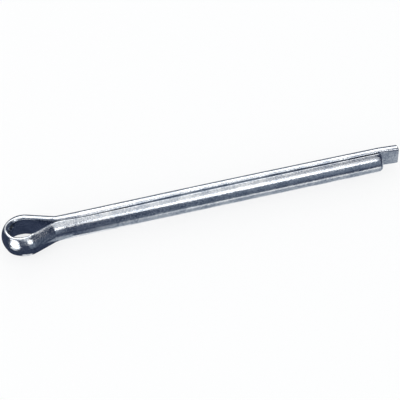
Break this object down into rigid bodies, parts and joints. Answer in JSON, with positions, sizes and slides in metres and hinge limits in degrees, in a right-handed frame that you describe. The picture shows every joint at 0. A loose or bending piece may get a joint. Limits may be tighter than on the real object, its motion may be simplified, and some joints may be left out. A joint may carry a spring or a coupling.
{
  "type": "cotter pin",
  "caption": "Split cotter pin of half-round wire with a round eye, one leg longer than the other. It locks a nut, castle nut or clevis pin through a cross hole.",
  "frame": {"origin": "on the shank's axis where the shank starts under the eye, midway between the two legs", "axes": "+X along the shank towards the tips, +Y towards the long leg, +Z along the hole of the eye"},
  "size_m": [0.0776, 0.0086, 0.0044],
  "materials": {
    "plated_steel": "bright zinc plating over drawn steel wire, satin with a fine grain"
  },
  "bodies": {
    "root": {"cotter_pin": "plated_steel"}
  },
  "joints": []
}
